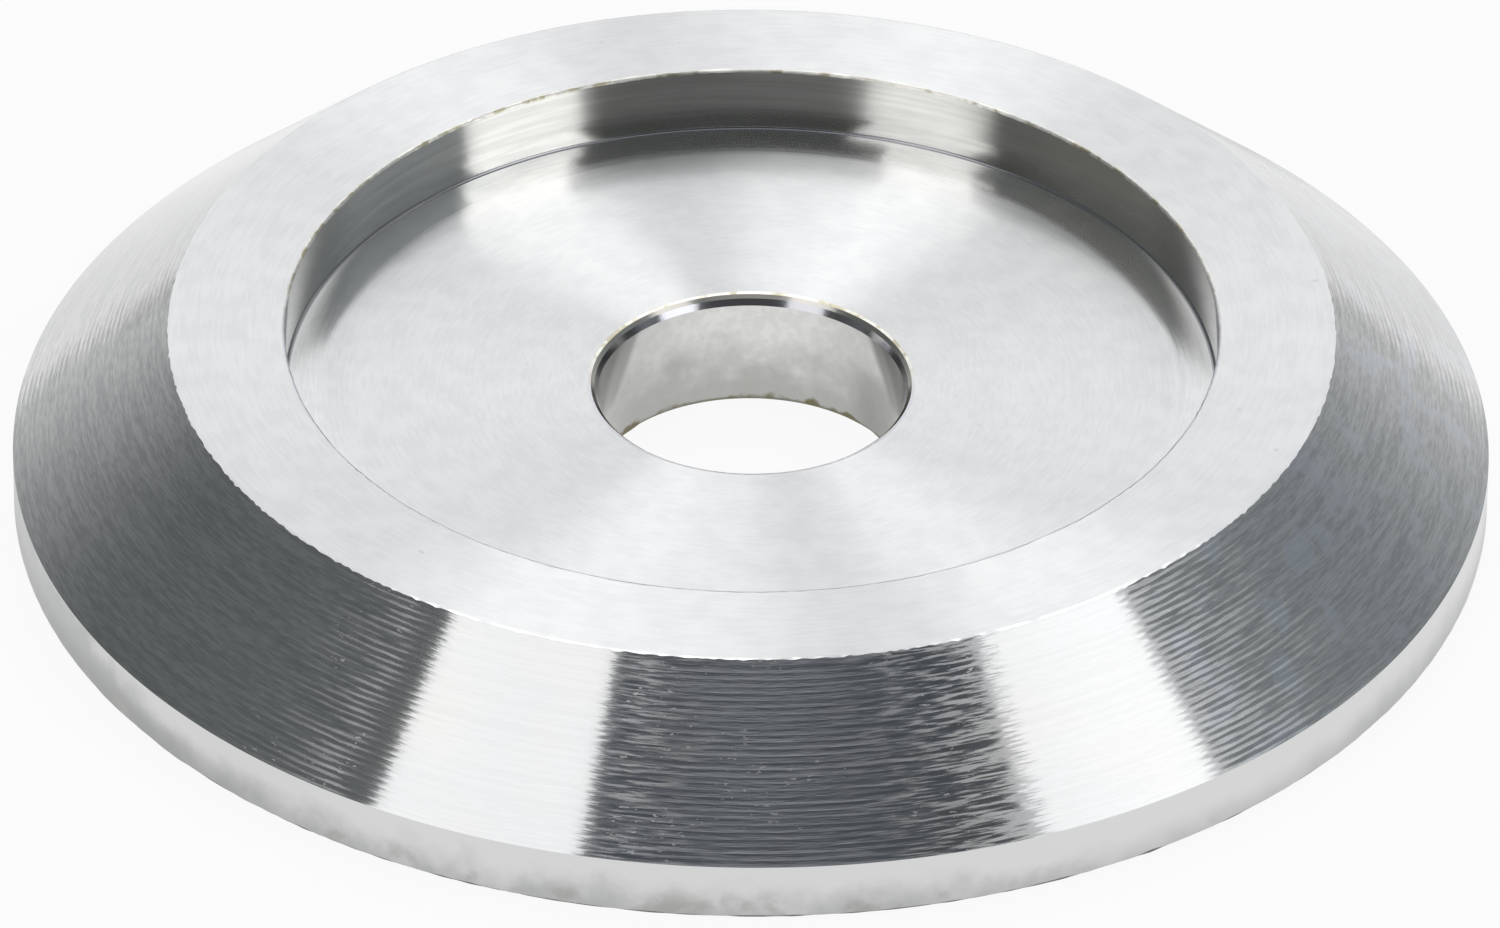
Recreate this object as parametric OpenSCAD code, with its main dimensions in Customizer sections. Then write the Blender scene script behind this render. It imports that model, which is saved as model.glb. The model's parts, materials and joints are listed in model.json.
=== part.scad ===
// Turned aluminium cup washer: a low cone with a thin upright rim, a flat top land, and a round
// flat-floored recess that takes a screw head over a clearance bore. One piece, turned from bar.
// The axis is Z and the base stands on Z = 0. All sizes are in millimetres.

/* [Body] */
// Diameter over the upright rim
outer_d = 31.75; // [28:0.05:40]
// Height of the upright rim below the cone
rim_h = 1.3; // [0.6:0.05:2]
// Height from the base to the top land
total_h = 4.2; // [3.8:0.05:6]
// Diameter of the top land, where the cone ends
land_d = 25; // [23:0.05:27]

/* [Recess] */
// Diameter of the recess for the screw head
recess_d = 20; // [16:0.05:22]
// Depth of the recess below the top land
recess_depth = 1.5; // [1:0.05:2]
// Radius that the turning tool's nose leaves between the recess wall and floor
recess_corner_r = 0.06; // [0.05:0.01:0.8]

/* [Screw hole] */
// Diameter of the clearance bore
bore_d = 6.6; // [4:0.05:10]
// Chamfer at the top of the bore, measured along the radius
bore_chamfer = 0.08; // [0.05:0.01:0.4]
// Height of the steeper taper under that chamfer
bore_lead_h = 0.14; // [0.1:0.01:0.5]
// How much wider than the bore the taper is at its top, on the radius
bore_lead_in = 0.07; // [0.01:0.01:0.1]

/* [Edges] */
// Chamfer that breaks the mouth of the recess
mouth_break = 0.05; // [0.02:0.01:0.15]
// Chamfer that breaks the corner of the land and the cone
land_break = 0.03; // [0.02:0.01:0.15]
// Chamfer that breaks the base at the rim and at the bore
base_break = 0.08; // [0.02:0.01:0.3]

/* [Hidden] */
$fn = 96;

outer_r = outer_d / 2;
land_r = land_d / 2;
recess_r = recess_d / 2;
bore_r = bore_d / 2;
floor_z = total_h - recess_depth;
lead_r = bore_r + bore_lead_in;
chamfer_r = lead_r + bore_chamfer;
chamfer_z = floor_z - bore_chamfer;
lead_z = chamfer_z - bore_lead_h;
// Unit step down the slope of the cone, as a radius and a drop in height
slope_len = norm([outer_r - land_r, total_h - rim_h]);
slope_dr = (outer_r - land_r) / slope_len;
slope_dz = (total_h - rim_h) / slope_len;
// How far the recess cutter stands above the land
over = 1;

// Half section of the turned blank with no recess: rim, cone and land round the bore
module blank_section() {
    polygon([
        [bore_r, base_break],
        [bore_r + base_break, 0],
        [outer_r - base_break, 0],
        [outer_r, base_break],
        [outer_r, rim_h],
        [land_r + land_break * slope_dr, total_h - land_break * slope_dz],
        [land_r - land_break, total_h],
        [bore_r, total_h]
    ]);
}

// Half section of the recess: upright wall, broken mouth, and the tool's radius down to the floor
module recess_section() {
    corner_x = recess_r - recess_corner_r;
    corner_z = floor_z + recess_corner_r;
    translate([0, floor_z]) square([corner_x, recess_depth + over]);
    translate([0, corner_z]) square([recess_r, total_h + over - corner_z]);
    translate([corner_x, corner_z]) circle(r = recess_corner_r);
    polygon([
        [recess_r, total_h - mouth_break],
        [recess_r + mouth_break + over, total_h + over],
        [0, total_h + over],
        [0, total_h - mouth_break]
    ]);
}

// Half section of the bore's chamfer and of the steeper taper under it
module bore_lead_section() {
    polygon([
        [0, lead_z],
        [bore_r, lead_z],
        [lead_r, chamfer_z],
        [chamfer_r + over, floor_z + over],
        [0, floor_z + over]
    ]);
}

module cup_washer() {
    color("silver")
    rotate_extrude()
    difference() {
        blank_section();
        recess_section();
        bore_lead_section();
    }
}

cup_washer();
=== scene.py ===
import json
import math
import random
from collections import namedtuple

import bpy
from mathutils import Euler, Matrix, Vector


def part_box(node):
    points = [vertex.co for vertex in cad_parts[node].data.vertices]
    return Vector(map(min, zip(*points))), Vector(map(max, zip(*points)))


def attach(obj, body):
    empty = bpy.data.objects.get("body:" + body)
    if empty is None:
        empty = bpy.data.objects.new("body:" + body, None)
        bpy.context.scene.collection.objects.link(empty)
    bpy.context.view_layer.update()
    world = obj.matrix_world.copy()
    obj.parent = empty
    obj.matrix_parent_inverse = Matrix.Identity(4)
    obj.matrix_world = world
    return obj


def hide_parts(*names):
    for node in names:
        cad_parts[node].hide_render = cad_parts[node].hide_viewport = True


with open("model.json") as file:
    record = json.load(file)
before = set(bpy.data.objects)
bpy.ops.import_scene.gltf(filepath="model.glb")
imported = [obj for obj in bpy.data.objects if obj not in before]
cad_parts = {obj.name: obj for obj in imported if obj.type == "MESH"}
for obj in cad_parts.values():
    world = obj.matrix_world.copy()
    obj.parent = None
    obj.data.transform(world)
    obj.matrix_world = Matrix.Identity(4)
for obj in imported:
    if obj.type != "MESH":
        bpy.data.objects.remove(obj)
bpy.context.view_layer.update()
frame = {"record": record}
node_low, node_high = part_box("cup_washer")

MM = 0.001

# Sizes of the turned section in millimetres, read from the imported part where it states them

MOUNTS = {m["name"]: m for m in frame["record"]["mounts"]}
OUTER_R = (node_high[0] - node_low[0]) / 2 / MM
TOTAL_H = node_high[2] / MM
BORE_R = MOUNTS["screw_bore"]["dims"]["r_mm"]
RECESS_R = MOUNTS["head_recess"]["dims"]["r_mm"]
FLOOR_Z = MOUNTS["head_seat"]["pos_m"][2] / MM
RIM_H = 1.3
LAND_R = 12.5
BASE_BREAK = 0.08
# How far the corner of the land and the cone is worn, down the slope and in on the land
LAND_WORN = 0.012
LAND_WORN_IN = 0.045
# The recess's mouth: its break, how far it is worn beyond that, and the middle of its worn round, whose
# place is a share of the break out and down and whose wear has a way of its own
MOUTH_BREAK = 0.05
MOUTH_WORN = 0.02
MOUTH_MID_OUT = 0.4
MOUTH_MID_DOWN = 0.3
MOUTH_MID_WAY = (0.7, 0.3)
CORNER_R = 0.06
CORNER_STEPS = 6
BORE_LEAD_IN = 0.07
BORE_LEAD_H = 0.14
BORE_CHAMFER = 0.08
# The chamfer's upper edge is worn round
LIP_W = 0.07
LIP_DROP = 0.018
# The floor is faced up to this radius, and the tool left a ring with a small step outside it
RING_IN_R = 9.24
RING_STEP_W = 0.03
RING_STEP_H = 0.004
RING_RAMP_W = 0.25

# The cone's slope as a unit step inwards and up, and the grooves that the tool's feed left on it
SLOPE_LEN = math.hypot(OUTER_R - LAND_R, TOTAL_H - RIM_H)
UP_SLOPE = Vector((LAND_R - OUTER_R, TOTAL_H - RIM_H)) / SLOPE_LEN
INTO_CONE = Vector((-UP_SLOPE[1], UP_SLOPE[0]))
GROOVES = 29
GROOVE_DEPTH = 0.0016
# The shallowest and the deepest groove, as shares of that depth
GROOVE_SPREAD = (0.55, 1.25)
# Points of one groove as shares of the feed and of the depth: two on its bottom, then the next crest
GROOVE_POINTS = ((1 / 3, 0.89), (2 / 3, 0.89), (1, 0.12))
GROOVE_SEED = 100
PLAIN_TOP = 0.15
FEED = (SLOPE_LEN - PLAIN_TOP) / GROOVES

# Segments round the axis
TURNS = 640


# Seeded noise round the axis, for worn edges and uneven grooves

def round_noise(seed, parts):
    """A smooth function of the azimuth with mean 0: parts is a list of (waves round, amplitude)."""
    rng = random.Random(seed)
    terms = []
    for waves, height in parts:
        for _ in range(6):
            count = max(1, int(waves * rng.uniform(0.6, 1.4)))
            terms.append((count, height / 2.4 * rng.uniform(0.5, 1.0), rng.uniform(0, math.tau)))
    return lambda azimuth: sum(amp * math.sin(count * azimuth + phase) for count, amp, phase in terms)


mouth_wear = round_noise(3, [(40, 0.012), (150, 0.012)])
mouth_drop = round_noise(4, [(30, 0.008), (170, 0.010)])
land_wear = round_noise(5, [(60, 0.008), (210, 0.017)])
ring_wear = round_noise(6, [(25, 0.012), (90, 0.010)])
base_wear = round_noise(7, [(50, 0.012), (140, 0.010)])
bore_wear = round_noise(8, [(9, 0.012), (30, 0.012)])


# The turned body as one closed mesh

# One ring of the section: its place, the zone of the band that follows it, whether it is a sharp edge,
# and a noise that moves it along a way in the section
Ring = namedtuple("Ring", "r z zone sharp wear way", defaults=(False, None, (0, 0)))


def groove_rings():
    """The rings of the cone: round-bottomed grooves with sharp crests, each uneven round the axis."""
    foot = Vector((OUTER_R, RIM_H))
    feed = UP_SLOPE * FEED
    rng = random.Random(11)
    rings = [Ring(*foot, "cone", True)]
    for groove in range(GROOVES):
        into = INTO_CONE * GROOVE_DEPTH * rng.uniform(*GROOVE_SPREAD)
        for point, (share, depth) in enumerate(GROOVE_POINTS):
            place = foot + feed * (groove + share) + into * depth
            seed = GROOVE_SEED + len(GROOVE_POINTS) * groove + point
            uneven = round_noise(seed, [(14, 0.18), (60, 0.18)])
            rings.append(Ring(*place, "cone", share == 1, uneven, into))
    return rings


def corner_rings():
    """The tool's radius between the wall and the floor of the recess."""
    rings = []
    for step in range(CORNER_STEPS):
        bend = math.pi / 2 * step / CORNER_STEPS
        r = RECESS_R - CORNER_R * (1 - math.cos(bend))
        z = FLOOR_Z + CORNER_R * (1 - math.sin(bend))
        rings.append(Ring(r, z, "corner"))
    return rings


def section():
    """All rings in order: out on the base, up the rim and the cone, in over the land, down to the bore."""
    land_corner = Vector((LAND_R, TOTAL_H)) - UP_SLOPE * LAND_WORN
    mouth_mid = (RECESS_R + MOUTH_BREAK * MOUTH_MID_OUT, TOTAL_H - MOUTH_BREAK * MOUTH_MID_DOWN)
    lead_r = BORE_R + BORE_LEAD_IN
    chamfer_z = FLOOR_Z - BORE_CHAMFER
    return [
        Ring(BORE_R + BASE_BREAK, 0.0, "base", True),
        Ring(RECESS_R, 0.0, "base"),
        Ring(OUTER_R - BASE_BREAK, 0.0, "foot", True, base_wear, (1, 0)),
        Ring(OUTER_R, BASE_BREAK, "rim", True, base_wear, (0, 1)),
        *groove_rings(),
        Ring(*land_corner, "land", True, land_wear, UP_SLOPE),
        Ring(LAND_R - LAND_WORN_IN, TOTAL_H, "land", True),
        Ring(RECESS_R + MOUTH_BREAK + MOUTH_WORN, TOTAL_H, "edge", True, mouth_wear, (1, 0)),
        Ring(*mouth_mid, "edge", False, mouth_wear, MOUTH_MID_WAY),
        Ring(RECESS_R, TOTAL_H - MOUTH_BREAK, "wall", True, mouth_drop, (0, 1)),
        *corner_rings(),
        Ring(RECESS_R - CORNER_R, FLOOR_Z, "floor"),
        Ring(RING_IN_R + RING_STEP_W, FLOOR_Z, "floor", False, ring_wear, (1, 0)),
        Ring(RING_IN_R, FLOOR_Z + RING_STEP_H, "floor", False, ring_wear, (1, 0)),
        Ring(RING_IN_R - RING_RAMP_W, FLOOR_Z, "floor"),
        Ring(lead_r + BORE_CHAMFER + LIP_W, FLOOR_Z, "edge", True),
        Ring(lead_r + BORE_CHAMFER, FLOOR_Z - LIP_DROP, "chamfer", True),
        Ring(lead_r, chamfer_z, "lead", True),
        Ring(BORE_R, chamfer_z - BORE_LEAD_H, "bore", True),
        Ring(BORE_R, BASE_BREAK, "burr", True, bore_wear, (0, 1)),
    ]


def revolve(name, zones):
    """Sweeps the section round the axis into a closed mesh whose faces are numbered by zone."""
    rings = section()
    verts, faces, numbers, sharp = [], [], [], set()
    for ring in rings:
        for k in range(TURNS):
            azimuth = math.tau * k / TURNS
            moved = ring.wear(azimuth) if ring.wear else 0.0
            r = min(ring.r + moved * ring.way[0], OUTER_R)
            z = min(max(ring.z + moved * ring.way[1], 0.0), TOTAL_H)
            verts.append((r * math.sin(azimuth) * MM, -r * math.cos(azimuth) * MM, z * MM))
    for i, ring in enumerate(rings):
        low = i * TURNS
        high = (i + 1) % len(rings) * TURNS
        for k in range(TURNS):
            following = (k + 1) % TURNS
            faces.append((low + k, low + following, high + following, high + k))
            numbers.append(zones.index(ring.zone))
            if ring.sharp:
                sharp.add(frozenset((low + k, low + following)))
    mesh = bpy.data.meshes.new(name)
    mesh.from_pydata(verts, [], faces)
    mesh.polygons.foreach_set("material_index", numbers)
    mesh.polygons.foreach_set("use_smooth", [True] * len(faces))
    flags = mesh.attributes.new("sharp_edge", "BOOLEAN", "EDGE")
    flags.data.foreach_set("value", [frozenset(e.vertices) in sharp for e in mesh.edges])
    mesh.update()
    obj = bpy.data.objects.new(name, mesh)
    bpy.context.scene.collection.objects.link(obj)
    return obj


# Nodes of materials and of the world

class Nodes:
    """Short helpers that add nodes to a tree; a value is a number or the socket of another node."""

    def __init__(self, tree):
        self.nodes = tree.nodes
        self.links = tree.links

    def put(self, socket, value):
        if isinstance(value, bpy.types.NodeSocket):
            self.links.new(value, socket)
        else:
            socket.default_value = value

    def math(self, operation, one, two=0.0):
        node = self.nodes.new("ShaderNodeMath")
        node.operation = operation
        self.put(node.inputs[0], one)
        self.put(node.inputs[1], two)
        return node.outputs[0]

    def plus(self, one, two):
        return self.math("ADD", one, two)

    def minus(self, one, two):
        return self.math("SUBTRACT", one, two)

    def times(self, one, two):
        return self.math("MULTIPLY", one, two)

    def ramp(self, value, low, high, to_low=0.0, to_high=1.0):
        """A smooth step from to_low to to_high, as the value goes from low to high."""
        node = self.nodes.new("ShaderNodeMapRange")
        node.interpolation_type = "SMOOTHSTEP"
        self.put(node.inputs["Value"], value)
        node.inputs["From Min"].default_value = low
        node.inputs["From Max"].default_value = high
        node.inputs["To Min"].default_value = to_low
        node.inputs["To Max"].default_value = to_high
        return node.outputs[0]

    def mix(self, share, one, two):
        """A colour socket between two colours, which may be sockets too."""
        node = self.nodes.new("ShaderNodeMix")
        node.data_type = "RGBA"
        self.put(node.inputs["Factor"], share)
        for socket, color in zip([s for s in node.inputs if s.type == "RGBA"], (one, two)):
            self.put(socket, (*color, 1) if isinstance(color, tuple) else color)
        return [s for s in node.outputs if s.type == "RGBA"][0]

    def mix_shader(self, share, one, two):
        node = self.nodes.new("ShaderNodeMixShader")
        self.put(node.inputs[0], share)
        self.put(node.inputs[1], one.outputs[0])
        self.put(node.inputs[2], two.outputs[0])
        return node.outputs[0]

    def split(self, vector):
        """The three parts of a vector socket."""
        node = self.nodes.new("ShaderNodeSeparateXYZ")
        self.put(node.inputs[0], vector)
        return node.outputs


class Metal(Nodes):
    """A metal material; lengths in its textures are millimetres."""

    def __init__(self, name, color, roughness, stretch=0.0):
        self.mat = bpy.data.materials.new(name)
        self.mat.use_nodes = True
        super().__init__(self.mat.node_tree)
        tangent = self.nodes.new("ShaderNodeTangent")
        tangent.direction_type = "RADIAL"
        tangent.axis = "Z"
        self.tangent = tangent.outputs[0]
        self.lobes = []
        self.lobe(self.nodes["Principled BSDF"], color, roughness, stretch)
        scale = self.nodes.new("ShaderNodeVectorMath")
        scale.operation = "SCALE"
        scale.inputs["Scale"].default_value = 1 / MM
        self.put(scale.inputs[0], self.nodes.new("ShaderNodeTexCoord").outputs["Object"])
        self.place = scale.outputs[0]
        x, y, self.z = self.split(self.place)
        self.r = self.math("SQRT", self.plus(self.times(x, x), self.times(y, y)))
        self.cos = self.math("DIVIDE", x, self.r)
        self.sin = self.math("DIVIDE", y, self.r)

    def lobe(self, node, color, roughness, stretch):
        """Sets up one reflection, stretched across the tool marks that run round the axis."""
        node.inputs["Base Color"].default_value = (*color, 1)
        node.inputs["Metallic"].default_value = 1.0
        node.inputs["Roughness"].default_value = roughness
        node.inputs["Anisotropic"].default_value = stretch
        node.inputs["Anisotropic Rotation"].default_value = 0.25
        self.put(node.inputs["Tangent"], self.tangent)
        self.lobes.append(node)

    def wide_lobe(self, share, color, roughness, stretch):
        """Mixes in a second, wider reflection, as the crests of tool marks give."""
        wide = self.nodes.new("ShaderNodeBsdfPrincipled")
        self.lobe(wide, color, roughness, stretch)
        surface = self.mix_shader(share, self.lobes[0], wide)
        self.put(self.nodes["Material Output"].inputs["Surface"], surface)

    def noise(self, where, scale, detail):
        node = self.nodes.new("ShaderNodeTexNoise")
        self.put(node.inputs["Vector"], where)
        node.inputs["Scale"].default_value = scale
        node.inputs["Detail"].default_value = detail
        return node.outputs[0]

    def streaks(self, along, waves_round, waves_per_mm, detail):
        """Noise in polar form: so many waves round the axis, and so many in a millimetre of along."""
        where = self.nodes.new("ShaderNodeCombineXYZ")
        self.put(where.inputs[0], self.times(self.cos, waves_round / math.tau))
        self.put(where.inputs[1], self.times(self.sin, waves_round / math.tau))
        self.put(where.inputs[2], self.times(along, waves_per_mm))
        return self.noise(where.outputs[0], 1.0, detail)

    def paint(self, color):
        for node in self.lobes:
            self.put(node.inputs["Base Color"], color)

    def bump(self, heights):
        """heights is a list of (height socket of 0 to 1, depth in micrometres)."""
        normal = None
        for height, depth in heights:
            node = self.nodes.new("ShaderNodeBump")
            node.inputs["Distance"].default_value = depth * 1e-6
            self.put(node.inputs["Height"], height)
            if normal is not None:
                self.put(node.inputs["Normal"], normal)
            normal = node.outputs[0]
        for node in self.lobes:
            self.put(node.inputs["Normal"], normal)


# Materials. A look's cos is 1 at the right and -1 at the left, and its sin is 1 at the far side.

ALUMINIUM = (0.80, 0.805, 0.81)
FACED = (0.88, 0.885, 0.89)
# Roughness of the cone where it is clean, and where it is rubbed or torn
CONE_ROUGH = 0.085
RUBBED_ROUGH = 0.42


def cone_color(look, along, lines, dashes, left, right):
    """Lined and faintly tarnished at the front, mottled with pale blotches at the sides, and darker at the
    back as a painted shade.
    """
    broad = look.streaks(along, 4.0, 3.0, 4.0)
    level = look.plus(look.times(lines, 0.4), look.times(dashes, 0.3))
    level = look.plus(level, look.times(broad, 0.3))
    tarnish = look.ramp(look.noise(look.place, 0.45, 3.0), 0.35, 0.65)
    dull = look.mix(tarnish, (0.662, 0.657, 0.650), (0.650, 0.657, 0.662))
    bright = look.mix(tarnish, (0.686, 0.681, 0.674), (0.674, 0.681, 0.686))
    metal = look.mix(look.ramp(level, 0.40, 0.60), dull, bright)
    grain = look.plus(look.times(dashes, 0.5), look.times(look.streaks(along, 44, 9.0, 3.0), 0.5))
    sides = look.mix(look.ramp(grain, 0.36, 0.64), (0.57, 0.575, 0.575), (0.77, 0.77, 0.765))
    blotches = look.ramp(look.noise(look.place, 1.1, 3.0), 0.54, 0.62, 0.0, 0.5)
    sides = look.mix(look.times(blotches, right), sides, (0.76, 0.80, 0.86))
    metal = look.mix(look.plus(left, right), metal, sides)
    # Painted shade: the cone's colour is darker towards the far side.
    return look.mix(look.ramp(look.sin, 0.05, 0.3, 0.0, 0.6), metal, (0.57, 0.575, 0.58))


def cone_marks(look, along, left, right):
    """How much the cone is rubbed: short streaks at the front, lines at the feed's pitch at both sides, and
    torn spots in the dark parts."""
    front = look.times(look.ramp(look.cos, -0.24, -0.16), look.ramp(look.cos, 0.37, 0.43, 1.0, 0.0))
    dark = look.plus(front, look.times(left, look.ramp(look.cos, -0.78, -0.62)))
    from_right = look.ramp(look.cos, 0.10, 0.28, 0.4, 1.0)
    from_left = look.ramp(look.cos, -0.15, 0.0, 0.7, 0.4)
    rubbed_front = look.times(front, look.math("MAXIMUM", from_right, from_left))
    rubbed_left = look.times(left, look.ramp(look.cos, -0.85, -0.55, 0.15, 0.7))
    rubbed_right = look.times(right, look.ramp(look.cos, 0.66, 0.92, 1.15, 0.3))
    short = look.ramp(look.streaks(along, 130, 20.0, 2.0), 0.34, 0.74)
    feed = look.times(look.math("SINE", look.times(along, math.tau / FEED)), 0.2)
    long = look.ramp(look.plus(look.streaks(along, 90, 12.0, 2.0), feed), 0.26, 0.80)
    rubbed_sides = look.times(long, look.plus(rubbed_left, rubbed_right))
    rubbed = look.plus(look.times(short, rubbed_front), rubbed_sides)
    spots = look.times(look.ramp(look.streaks(along, 520, 17.0, 1.0), 0.66, 0.73), dark)
    torn = look.times(spots, look.ramp(look.noise(look.place, 0.8, 2.0), 0.50, 0.60))
    return look.math("MAXIMUM", rubbed, torn)


def cone_metal():
    """Fine lines along the grooves, tarnish, and rubbed streaks and torn spots that scatter the lamps."""
    look = Metal("turned_cone", ALUMINIUM, CONE_ROUGH, 0.5)
    along = look.math("DIVIDE", look.minus(look.z, RIM_H), UP_SLOPE[1])
    lines = look.streaks(along, 2.5, 14.0, 2.0)
    dashes = look.streaks(along, 240, 26.0, 1.0)
    left = look.ramp(look.cos, -0.56, -0.50, 1.0, 0.0)
    right = look.ramp(look.cos, 0.59, 0.645)
    look.paint(cone_color(look, along, lines, dashes, left, right))
    marks = cone_marks(look, along, left, right)
    look.put(look.lobes[0].inputs["Roughness"], look.ramp(marks, 0.0, 1.0, CONE_ROUGH, RUBBED_ROUGH))
    look.bump([(lines, 0.5), (dashes, 1.2)])
    return look.mat


def faced_metal(name, shift, lean=0.0, burnished_r=None):
    """A faced surface with fine rings and a few pits, leaning towards the axis by that slope.

    Outside burnished_r the tool rubbed it smooth."""
    look = Metal(name, FACED, 0.16, 0.8)
    place = look.plus(look.r, shift)
    share = 0.55
    if burnished_r:
        ragged = look.plus(look.r, look.times(look.streaks(place, 6, 5.0, 3.0), 0.5))
        share = look.ramp(ragged, burnished_r, burnished_r + 0.5, 0.6, 0.09)
    look.wide_lobe(share, FACED, 0.30, 1.0)
    grain = look.times(look.streaks(place, 90, 16.0, 3.0), 0.5)
    grain = look.plus(grain, look.times(look.noise(look.place, 1.5, 5.0), 0.5))
    metal = look.mix(look.ramp(grain, 0.36, 0.64), (0.83, 0.836, 0.842), (0.912, 0.915, 0.914))
    pits = look.ramp(look.noise(look.place, 4.0, 1.0), 0.76, 0.86)
    look.paint(look.mix(pits, metal, (0.74, 0.745, 0.755)))
    heights = [(look.streaks(place, 30, 14.0, 4.0), 0.6)]
    if lean:
        heights.append((look.r, 1000 * lean))
    look.bump(heights)
    return look.mat


def rim_metal():
    """Dull metal with soft smudges and painted shade: darker towards the lower edge, where grime sits too,
    darker at the left and lighter towards the right.
    """
    look = Metal("turned_rim", ALUMINIUM, 0.3, 0.5)
    # Painted light and shade round the rim: darker at the left end, lighter towards the right and darker
    # again at the far right.
    left_end_shade = look.ramp(look.cos, -1.0, -0.72, -1.3, 0.0)
    turned = look.plus(left_end_shade, look.ramp(look.cos, 0.15, 0.45, 0.05, 0.32))
    turned = look.plus(turned, look.ramp(look.cos, 0.66, 0.88, 0.0, -0.35))
    clouds = look.minus(look.noise(look.place, 1.1, 5.0), 0.5)
    clouds = look.times(clouds, look.ramp(look.cos, 0.2, 0.6, 1.6, 0.6))
    smudge_and_shade = look.plus(look.plus(clouds, 0.8), turned)
    # Painted shade: darker towards the lower edge, broken up by the smudges.
    level = look.plus(look.z, smudge_and_shade)
    metal = look.mix(look.ramp(level, 0.75, 1.85), (0.47, 0.475, 0.475), (0.71, 0.715, 0.71))
    # Painted shade at the left, strongest towards the bottom.
    dim = look.times(look.ramp(look.cos, -0.9, -0.45, 0.68, 0.0), look.ramp(look.z, 0.2, 0.9, 1.0, 0.1))
    metal = look.mix(dim, metal, (0.30, 0.305, 0.305))
    # Grime and painted shade of the floor's contact shadow along the lower edge, weaker at the right.
    low = look.ramp(look.z, 0.1, 0.8, 1.0, 0.0)
    grime_and_shade = look.times(low, look.ramp(look.noise(look.place, 1.3, 4.0), 0.50, 0.70))
    grime_and_shade = look.times(grime_and_shade, look.ramp(look.cos, 0.1, 0.5, 1.0, 0.3))
    look.paint(look.mix(grime_and_shade, metal, (0.40, 0.40, 0.385)))
    look.bump([(look.noise(look.place, 2.5, 3.0), 2.0), (look.noise(look.place, 14.0, 2.0), 0.5)])
    return look.mat


def wall_metal():
    """The bored wall of the recess, with faint lines round it, olive at the right, and painted shade: darker
    towards the floor and dark at its ends.
    """
    look = Metal("recess_wall", (0.80, 0.80, 0.78), 0.09, 0.5)
    lines = look.streaks(look.z, 24, 9.0, 3.0)
    metal = look.mix(look.ramp(lines, 0.35, 0.65), (0.695, 0.687, 0.655), (0.80, 0.792, 0.76))
    metal = look.mix(look.ramp(look.cos, 0.45, 0.7, 0.0, 0.7), metal, (0.70, 0.655, 0.56))
    # Painted shade: darker towards the floor of the recess.
    metal = look.mix(look.ramp(look.z, 2.75, 3.6, 0.35, 0.0), metal, (0.40, 0.41, 0.40))
    # Painted shade at the ends, lighter at the left end than at the right.
    ends = look.mix(look.ramp(look.cos, -0.5, 0.5), (0.37, 0.37, 0.35), (0.29, 0.285, 0.265))
    look.paint(look.mix(look.ramp(look.math("ABSOLUTE", look.cos), 0.84, 0.97), metal, ends))
    look.bump([(lines, 0.5), (look.noise(look.place, 4.0, 3.0), 0.3)])
    return look.mat


def bore_color(look):
    """Painted shade, darker downwards, to the sides and in a patch at the right, broken up by grey smears,
    with dark olive stains.
    """
    smear = look.times(look.streaks(look.z, 12, 1.2, 3.0), 0.8)
    clouds = look.times(look.noise(look.place, 1.3, 5.0), 2.0)
    # Painted shade: darker downwards, its edge broken up by the smears.
    level = look.plus(look.z, look.plus(smear, clouds))
    metal = look.mix(look.ramp(level, 1.7, 3.5), (0.44, 0.445, 0.43), (0.74, 0.745, 0.73))
    mottles = look.ramp(look.noise(look.place, 4.5, 5.0), 0.40, 0.62, 0.16, 0.0)
    metal = look.mix(mottles, metal, (0.36, 0.35, 0.30))
    # Painted shade: darker to the sides.
    sideways = look.math("ABSOLUTE", look.cos)
    metal = look.mix(look.ramp(sideways, 0.25, 0.85, 0.0, 0.5), metal, (0.40, 0.40, 0.385))
    # Painted shade in a band up each side, darker at the right than at the left.
    shaded = look.plus(sideways, look.times(look.z, 0.115))
    shaded = look.minus(shaded, look.times(look.cos, 0.018))
    side = look.times(look.ramp(shaded, 1.01, 1.07), look.ramp(look.z, 0.9, 1.4))
    shade = look.mix(look.ramp(look.cos, -0.3, 0.3), (0.31, 0.315, 0.305), (0.25, 0.255, 0.245))
    metal = look.mix(side, metal, shade)
    # Painted shade in a patch at the right, towards the bottom.
    right = look.times(look.ramp(look.cos, 0.60, 0.80), look.ramp(look.cos, 0.92, 0.975, 1.0, 0.0))
    return look.mix(look.times(right, look.ramp(look.z, 1.3, 1.8, 0.5, 0.0)), metal, (0.22, 0.22, 0.21))


def bore_metal():
    """The reamed bore, with stains near its lower edge and a dark band along it."""
    look = Metal("bore_wall", ALUMINIUM, 0.2)
    ragged = look.plus(look.z, look.times(look.noise(look.place, 1.6, 4.0), -0.7))
    # Darker in a band along the lower edge.
    burr = look.ramp(look.z, 0.09, 0.14, 0.8, 0.0)
    stain = look.math("MAXIMUM", look.ramp(ragged, -0.30, -0.16, 1.0, 0.0), burr)
    look.paint(look.mix(stain, bore_color(look), (0.17, 0.155, 0.095)))
    look.bump([(look.noise(look.place, 1.2, 3.0), 5.0), (look.noise(look.place, 7.0, 3.0), 0.8)])
    return look.mat


def edge_metal():
    """Broken edges with a painted highlight, brighter and creamier at the far side, and olive where dirt has
    stayed.
    """
    look = Metal("edge_break", ALUMINIUM, 0.34)
    far = look.ramp(look.sin, -0.1, 0.3)
    dirt = look.times(look.ramp(look.noise(look.place, 2.2, 4.0), 0.48, 0.62), far)
    # Painted highlight: the edges are brighter and creamier at the far side.
    edge_and_highlight = look.mix(far, (0.80, 0.80, 0.84), (0.95, 0.93, 0.86))
    look.paint(look.mix(dirt, edge_and_highlight, (0.60, 0.56, 0.42)))
    look.bump([(look.noise(look.place, 9.0, 3.0), 10.0)])
    return look.mat


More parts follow.
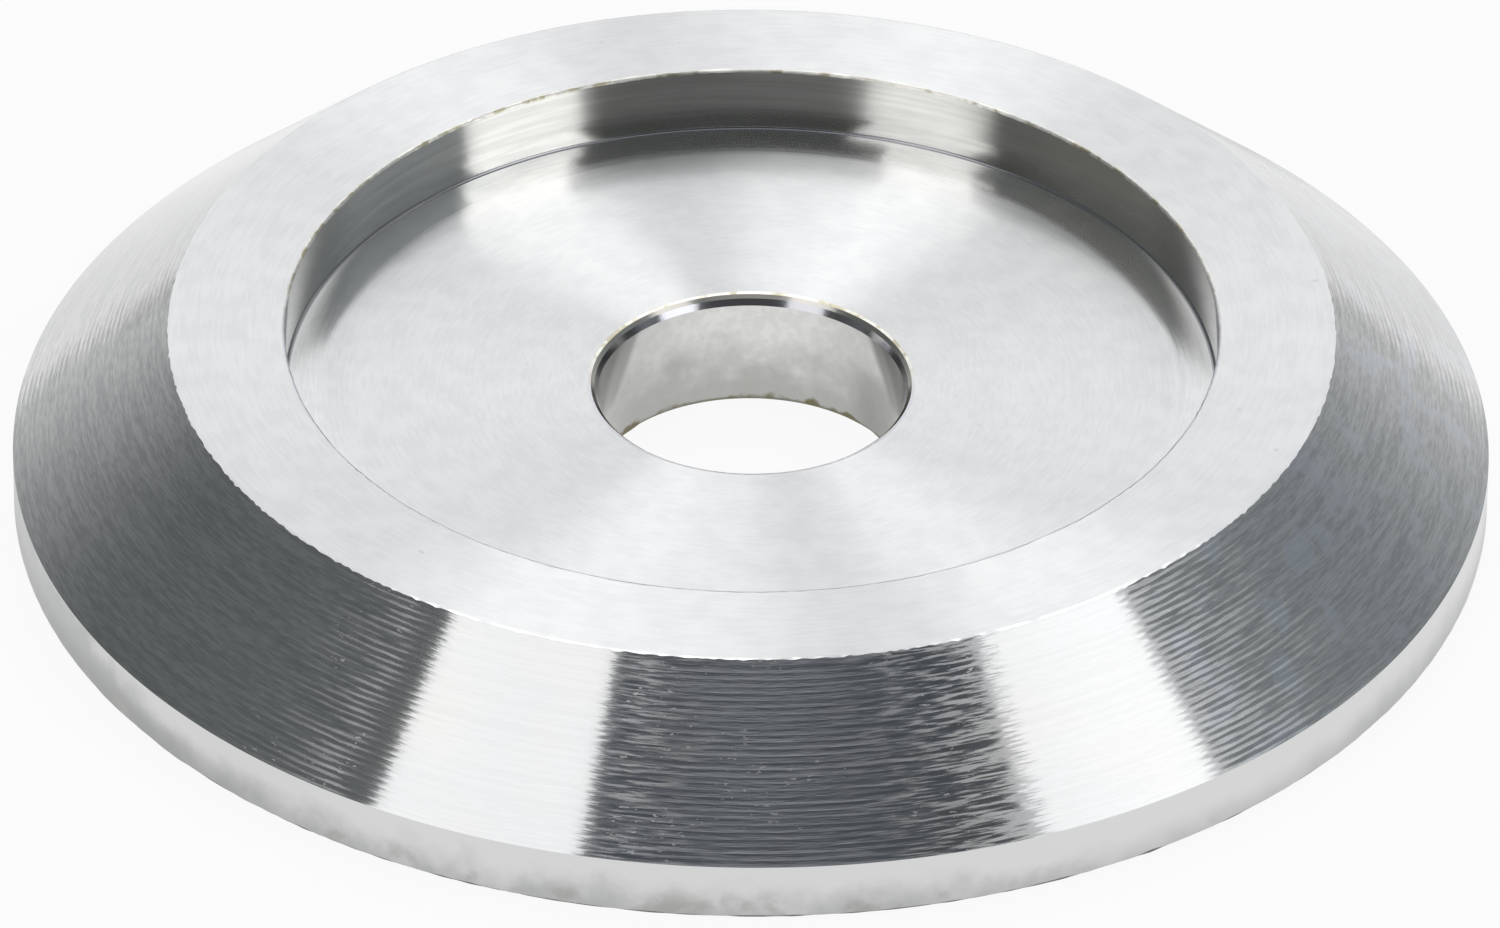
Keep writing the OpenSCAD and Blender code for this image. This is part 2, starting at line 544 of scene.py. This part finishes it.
def plain_metal(name, color, roughness, depth, scale):
    """One colour, with a bump of that depth in micrometres and that many waves in a millimetre."""
    look = Metal(name, color, roughness)
    look.bump([(look.noise(look.place, scale, 3.0), depth)])
    return look.mat


MATERIALS = {
    "base": faced_metal("turned_base", 40.0),
    "rim": rim_metal(),
    "cone": cone_metal(),
    # The rim foot's dark colour is painted shade: the floor's contact shadow that its down-facing break would
    # reflect.
    "foot": plain_metal("rim_foot", (0.16, 0.155, 0.15), 0.5, 4.0, 6.0),
    "edge": edge_metal(),
    "land": faced_metal("turned_land", 0.0),
    "wall": wall_metal(),
    # The corner's dark colour is painted shade in the crease between the wall and the floor of the recess.
    "corner": plain_metal("recess_corner", (0.42, 0.42, 0.44), 0.2, 1.0, 4.0),
    "floor": faced_metal("turned_floor", 20.0, 0.045, RING_IN_R - 0.1),
    "chamfer": plain_metal("bore_chamfer", (0.62, 0.60, 0.55), 0.16, 1.5, 6.0),
    "lead": plain_metal("bore_lead", (0.62, 0.62, 0.66), 0.14, 1.5, 6.0),
    "bore": bore_metal(),
    # The bore's lower break is dark.
    "burr": plain_metal("bore_burr", (0.16, 0.15, 0.13), 0.5, 10.0, 6.0),
}

washer = revolve("washer_body", list(MATERIALS))
for material in MATERIALS.values():
    washer.data.materials.append(material)
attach(washer, "root")
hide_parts("cup_washer")


# Floor, world and lamps

# The camera's height angle, and the direction in which a level mirror looks for it
ELEVATION = math.radians(34.394)
AHEAD_Y = math.cos(ELEVATION)
AHEAD_Z = math.sin(ELEVATION)

# The floor in metres: half its side, and how far it lies under the base
FLOOR_HALF = 3.0
FLOOR_DROP = 0.00002
# The floor's white inside the first distance from the axis, and its grey outside the second
FLOOR_FADE = (0.03, 0.12, 0.98, 0.55)
# How much of the floor's look to the camera is plain white, which the shadow doesn't darken
FLOOR_GLOW = 0.92

# Two bright panels of the ceiling: the slopes to the side that bound each of them, and its level
PANELS = ((-0.75, 0.055, 2.30), (0.42, 1.13, 2.25))
PANEL_SOFT = 0.04

# The planes of the side lamps: the direction from the object to each, and the way along it
LEFT = ((-0.566, -0.697, 0.440), (-0.083, 0.579, 0.810))
RIGHT = ((0.6745, -0.6806, 0.2857), (0.077, 0.449, 0.890))
LAMP_DISTANCE = 0.6
# Each lamp's name and plane, its edges across and along the plane at unit distance, and its radiance
LAMPS = (
    ("lamp_left", LEFT, (-0.125, 0.333), (0.35, 1.3), 1.21),
    ("lamp_left_low", LEFT, (-0.27, 0.17), (-0.32, 0.35), 1.20),
    ("lamp_right", RIGHT, (-0.174, 0.340), (0.5, 1.4), 1.21),
    ("lamp_right_low", RIGHT, (-0.10, 0.37), (-0.2, 0.5), 1.55),
)


def white_floor():
    """A white floor that shows the shadow, and fades to grey outside the picture."""
    mesh = bpy.data.meshes.new("floor")
    corners = [(x * FLOOR_HALF, y * FLOOR_HALF, -FLOOR_DROP) for x, y in ((-1, -1), (1, -1), (1, 1), (-1, 1))]
    mesh.from_pydata(corners, [], [(0, 1, 2, 3)])
    floor = bpy.data.objects.new("floor", mesh)
    bpy.context.scene.collection.objects.link(floor)
    mat = bpy.data.materials.new("white_floor")
    mat.use_nodes = True
    tree = Nodes(mat.node_tree)
    tree.nodes.clear()
    away = tree.nodes.new("ShaderNodeVectorMath")
    away.operation = "LENGTH"
    tree.put(away.inputs[0], tree.nodes.new("ShaderNodeTexCoord").outputs["Object"])
    white = tree.ramp(away.outputs["Value"], *FLOOR_FADE)
    diffuse = tree.nodes.new("ShaderNodeBsdfDiffuse")
    tree.put(diffuse.inputs["Color"], white)
    glow = tree.nodes.new("ShaderNodeEmission")
    glow.inputs["Strength"].default_value = 1.0
    tree.put(glow.inputs["Color"], tree.plus(white, 0.02))
    path = tree.nodes.new("ShaderNodeLightPath").outputs
    seen = tree.math("MAXIMUM", path["Is Camera Ray"], path["Is Glossy Ray"])
    seen = tree.math("MAXIMUM", seen, path["Is Transmission Ray"])
    surface = tree.mix_shader(tree.times(seen, FLOOR_GLOW), diffuse, glow)
    tree.put(tree.nodes.new("ShaderNodeOutputMaterial").inputs["Surface"], surface)
    mesh.materials.append(mat)


def studio_world():
    """A dim room with a little more light from the right, a pale wall behind the object and bright panels.

    The wall fills the part that a level mirror shows the camera, and fades sideways round that direction.
    The panels run from near that direction up towards the ceiling."""
    world = bpy.data.worlds.new("studio")
    bpy.context.scene.world = world
    world.use_nodes = True
    tree = Nodes(world.node_tree)
    x, y, z = tree.split(tree.nodes.new("ShaderNodeTexCoord").outputs["Generated"])
    past = tree.minus(y, AHEAD_Y)
    level_distance = tree.math("SQRT", tree.plus(tree.times(x, x), tree.times(past, past)))
    turn = tree.math("DIVIDE", past, level_distance)
    near = tree.plus(tree.times(y, AHEAD_Y), tree.times(z, AHEAD_Z))
    behind = tree.math("MAXIMUM", tree.ramp(near, 0.76, 0.93), tree.ramp(turn, -0.50, 0.42))
    room = tree.mix(tree.ramp(x, 0.3, 0.8), (0.147, 0.158, 0.162), (0.245, 0.266, 0.279))
    room = tree.mix(tree.ramp(y, -0.50, -0.1), (0.074, 0.078, 0.076), room)
    room = tree.mix(tree.ramp(z, 0.80, 0.86), room, (0.08, 0.092, 0.106))
    room = tree.mix(tree.ramp(z, 0.87, 0.95), room, (0.42, 0.43, 0.455))
    room = tree.mix(behind, room, (0.90, 0.91, 0.92))
    side = tree.math("DIVIDE", x, tree.minus(AHEAD_Y, y))
    reach = tree.minus(tree.ramp(near, 0.72, 0.80), tree.ramp(near, 0.935, 0.985))
    ceiling = tree.times(tree.ramp(z, 0.60, 0.66), reach)
    for low, high, level in PANELS:
        begun = tree.ramp(side, low - PANEL_SOFT, low + PANEL_SOFT)
        ended = tree.ramp(side, high - PANEL_SOFT, high + PANEL_SOFT)
        room = tree.mix(tree.times(tree.minus(begun, ended), ceiling), room, (level, level, level))
    back = tree.nodes["Background"]
    back.inputs["Strength"].default_value = 1.0
    tree.put(back.inputs["Color"], room)


def softbox(name, plane, across, along, radiance):
    """A flat lamp in a plane that faces the object, with its edges given at unit distance."""
    facing, way = (Vector(direction) for direction in plane)
    normal = facing.normalized()
    up = (way - normal * normal.dot(way)).normalized()
    side = up.cross(normal)
    wide = (across[1] - across[0]) * LAMP_DISTANCE
    tall = (along[1] - along[0]) * LAMP_DISTANCE
    centre = (normal + side * sum(across) / 2 + up * sum(along) / 2) * LAMP_DISTANCE
    lamp = bpy.data.lights.new(name, "AREA")
    lamp.shape = "RECTANGLE"
    lamp.size = wide
    lamp.size_y = tall
    lamp.energy = radiance * math.pi * wide * tall
    obj = bpy.data.objects.new(name, lamp)
    turn = Matrix((side, up, normal)).transposed().to_4x4()
    obj.matrix_world = Matrix.Translation(centre) @ turn
    bpy.context.scene.collection.objects.link(obj)


white_floor()
studio_world()
for lamp_row in LAMPS:
    softbox(*lamp_row)


# Camera

# The picture's width and the focal length in pixels, and where the middle of the base stands in the
# picture, in pixels right of and below the picture's middle
IMAGE_W = 1500.0
FOCAL_PX = 15431.5
BASE_RIGHT_PX = 0.55
BASE_BELOW_PX = 22.08
# The camera's distance in rim radii, and its roll
DISTANCE_R = 20.973
ROLL = math.radians(0.434)
SENSOR_W = 36.0


def set_camera():
    cam = bpy.data.cameras.new("camera")
    cam.sensor_fit = "HORIZONTAL"
    cam.sensor_width = SENSOR_W
    cam.lens = SENSOR_W * FOCAL_PX / IMAGE_W
    cam.clip_start = 0.01
    cam.clip_end = 10.0
    cam.shift_x = -BASE_RIGHT_PX / IMAGE_W
    cam.shift_y = BASE_BELOW_PX / IMAGE_W
    obj = bpy.data.objects.new("camera", cam)
    away = DISTANCE_R * OUTER_R * MM
    turn = Euler((math.pi / 2 - ELEVATION, 0, 0)).to_matrix() @ Euler((0, 0, ROLL)).to_matrix()
    place = Matrix.Translation((0, -AHEAD_Y * away, AHEAD_Z * away))
    obj.matrix_world = place @ turn.to_4x4()
    bpy.context.scene.collection.objects.link(obj)
    bpy.context.scene.camera = obj


set_camera()
bpy.context.scene.view_settings.view_transform = "Standard"
